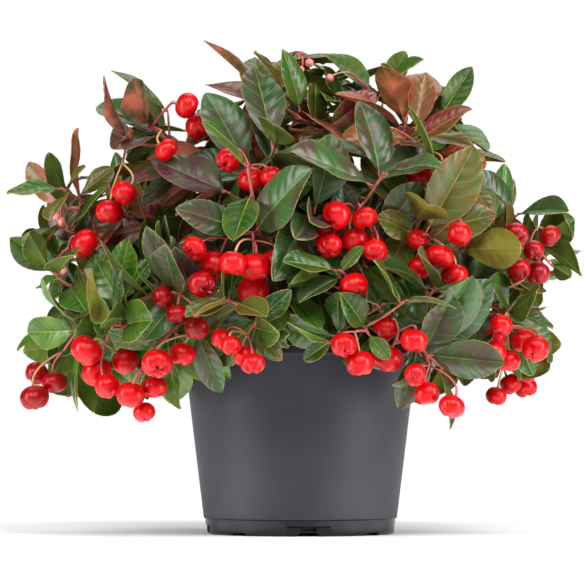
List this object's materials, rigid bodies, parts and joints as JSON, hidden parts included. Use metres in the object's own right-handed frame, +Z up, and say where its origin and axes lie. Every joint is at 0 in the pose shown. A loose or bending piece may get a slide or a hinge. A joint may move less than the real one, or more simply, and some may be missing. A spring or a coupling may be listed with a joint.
{
  "type": "potted wintergreen shrub",
  "caption": "Low evergreen shrub with glossy leaves and hanging red berries, growing in a round tapering nursery pot.",
  "frame": {"origin": "on the ground at the pot's axis, in the flat underside of the pot's floor", "axes": "+Z up along the pot axis, -Y towards the front of the picture, +X to the right of the picture"},
  "size_m": [0.289, 0.2604, 0.2458],
  "materials": {
    "pot_plastic": "satin",
    "potting_soil": "matte",
    "bark": "matte",
    "leaf_deep": "gloss",
    "leaf_green": "gloss",
    "leaf_fresh": "gloss",
    "leaf_olive": "gloss",
    "leaf_bronze": "gloss",
    "leaf_copper": "gloss",
    "berry": "gloss"
  },
  "bodies": {
    "root": {"bough_back_high_1": "bark", "bough_back_high_2": "bark", "bough_back_high_3": "bark", "bough_back_high_4": "bark", "bough_back_low_1": "bark", "bough_back_low_2": "bark", "bough_back_low_3": "bark", "bough_back_low_4": "bark", "bough_back_low_5": "bark", "bough_front_high": "bark", "bough_front_left": "bark", "bough_front_low_left": "bark", "bough_front_low_right": "bark", "bough_front_right": "bark", "bough_left_hollow": "bark", "bough_left_low": "bark", "bough_left_peak": "bark", "bough_left_skirt": "bark", "bough_left_tip": "bark", "bough_left_waist": "bark", "bough_right_low": "bark", "bough_right_peak": "bark", "bough_right_shoulder": "bark", "bough_right_skirt": "bark", "bough_right_tip": "bark", "bough_right_upper": "bark", "bough_top_left": "bark", "bough_top_right": "bark", "foliage_back_high_1": "leaf_olive", "foliage_back_high_2": "leaf_deep", "foliage_back_high_3": "leaf_copper", "foliage_back_high_4": "leaf_green", "foliage_back_low_1": "leaf_olive", "foliage_back_low_2": "leaf_deep", "foliage_back_low_3": "leaf_copper", "foliage_back_low_4": "leaf_green", "foliage_back_low_5": "leaf_fresh", "foliage_front_high": "leaf_deep", "foliage_front_left": "leaf_deep", "foliage_front_low_left": "leaf_green", "foliage_front_low_right": "leaf_green", "foliage_front_right": "leaf_deep", "foliage_left_hollow": "leaf_olive", "foliage_left_low": "leaf_fresh", "foliage_left_peak": "leaf_bronze", "foliage_left_skirt": "leaf_fresh", "foliage_left_tip": "leaf_copper", "foliage_left_waist": "leaf_deep", "foliage_right_low": "leaf_deep", "foliage_right_peak": "leaf_green", "foliage_right_shoulder": "leaf_olive", "foliage_right_skirt": "leaf_copper", "foliage_right_tip": "leaf_green", "foliage_right_upper": "leaf_bronze", "foliage_top_left": "leaf_copper", "foliage_top_right": "leaf_green", "pot": "pot_plastic", "rootstock": "bark", "soil": "potting_soil"}
  },
  "joints": []
}
